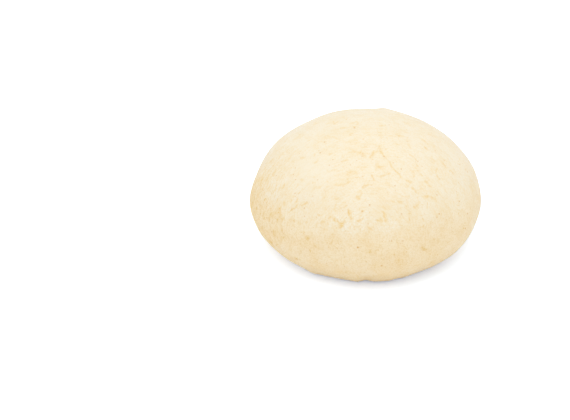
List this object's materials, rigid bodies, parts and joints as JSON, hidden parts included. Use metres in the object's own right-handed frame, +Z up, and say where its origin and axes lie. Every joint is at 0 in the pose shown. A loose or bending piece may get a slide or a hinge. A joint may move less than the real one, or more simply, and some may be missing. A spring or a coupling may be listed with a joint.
{
  "type": "steamed yeast dumpling",
  "caption": "Whole round steamed yeast dumpling of plain pale dough: a low dome over a full side and a flat foot that it rests on.",
  "frame": {"origin": "on the ground under the middle of the dumpling, in its flat foot", "axes": "+Z up from the flat foot to the top of the dome, +X to the right and +Y away from the viewer, as the picture shows the dumpling"},
  "size_m": [0.0904, 0.09, 0.0488],
  "materials": {
    "dough": "satin"
  },
  "bodies": {
    "root": {"dumpling": "dough"}
  },
  "joints": []
}
